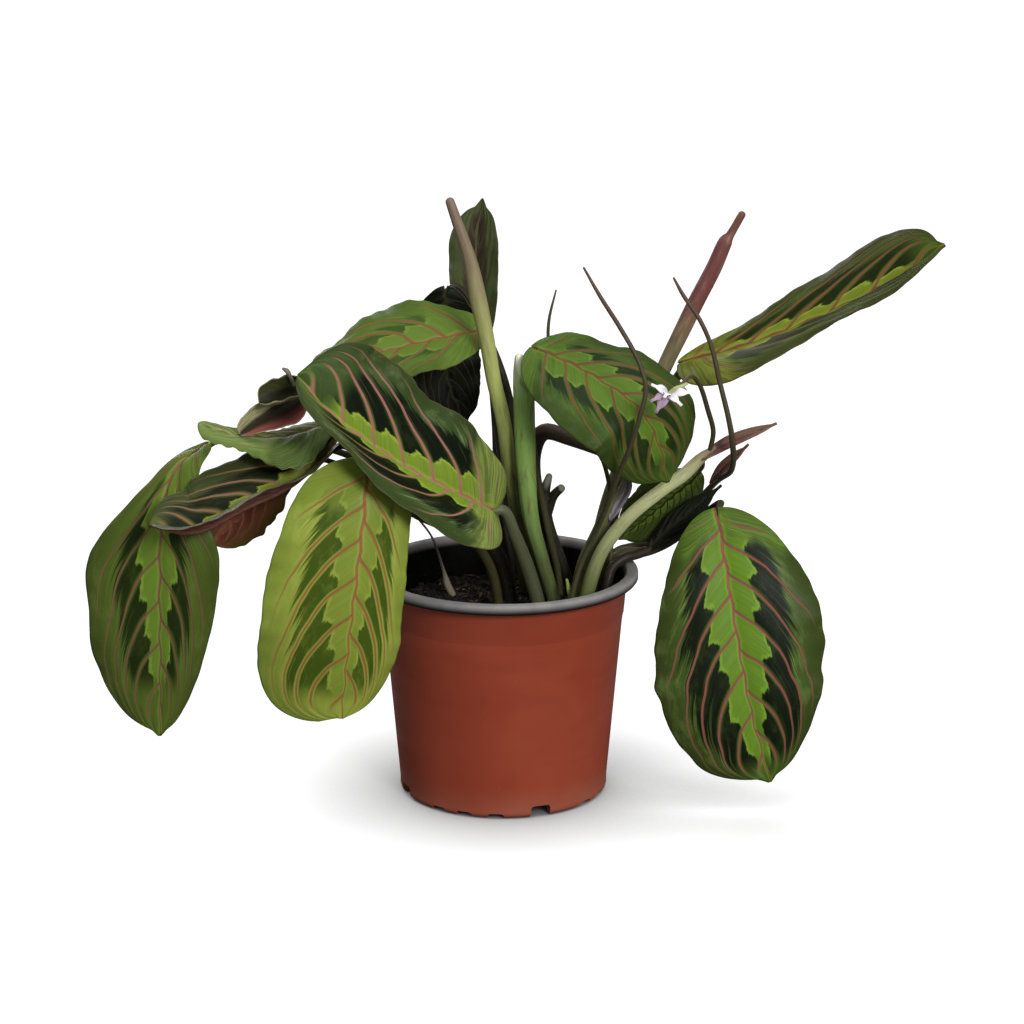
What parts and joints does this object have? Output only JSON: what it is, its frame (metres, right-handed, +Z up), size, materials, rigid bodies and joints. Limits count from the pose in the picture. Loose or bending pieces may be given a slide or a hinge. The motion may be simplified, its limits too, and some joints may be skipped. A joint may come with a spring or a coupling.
{
  "type": "potted prayer plant",
  "caption": "Potted prayer plant with patterned oval leaves, tall and drooping stalks and a small white flower in a round plastic nursery pot filled with soil.",
  "frame": {"origin": "on the surface that the pot stands on, under the middle of the pot", "axes": "+Z up, +X along the plant's longest spread to the right of the front view, -Y towards the front"},
  "size_m": [0.3664, 0.1482, 0.2656],
  "materials": {
    "pot_terracotta": "satin",
    "soil_dark": "matte",
    "leaf_green": "satin",
    "leaf_lime": "satin",
    "leaf_dark": "satin",
    "leaf_maroon": "satin",
    "stalk_green": "satin",
    "stalk_pale": "satin",
    "stalk_maroon": "satin",
    "stem_brown": "satin",
    "stalk_dried": "matte",
    "petal_white": "matte"
  },
  "bodies": {
    "root": {"stalk_tall": "stalk_green", "leaf_rolled": "stalk_green", "stalk_maroon": "stalk_maroon", "stalk_pale": "stalk_pale", "sheath_papery": "stalk_green", "stem_brown": "stem_brown", "stem_left": "stem_brown", "stub_forked": "stem_brown", "stalk_dried": "stalk_dried", "sprout": "stalk_green", "flower_stalk_tall": "stem_brown", "flower_stalk_right": "stem_brown", "flower_stalk_thin": "stem_brown", "flower_stalk_short": "stem_brown", "leaf_right_hanging": "leaf_green", "leaf_front_hanging": "leaf_lime", "leaf_far_left": "leaf_green", "leaf_left_pointing": "leaf_dark", "leaf_left_underside": "leaf_maroon", "leaf_left_pale": "leaf_green", "leaf_left_curled_upper": "leaf_dark", "leaf_left_curled_lower": "leaf_dark", "leaf_centre_dark": "leaf_dark", "leaf_upper_bright": "leaf_green", "leaf_behind_dark": "leaf_dark", "leaf_upright": "leaf_green", "leaf_right_centre": "leaf_green", "leaf_far_right": "leaf_green", "leaf_under_stalk": "leaf_lime", "leaf_rim_dark": "leaf_dark", "flower": "petal_white", "pot": "pot_terracotta", "soil": "soil_dark"}
  },
  "joints": []
}
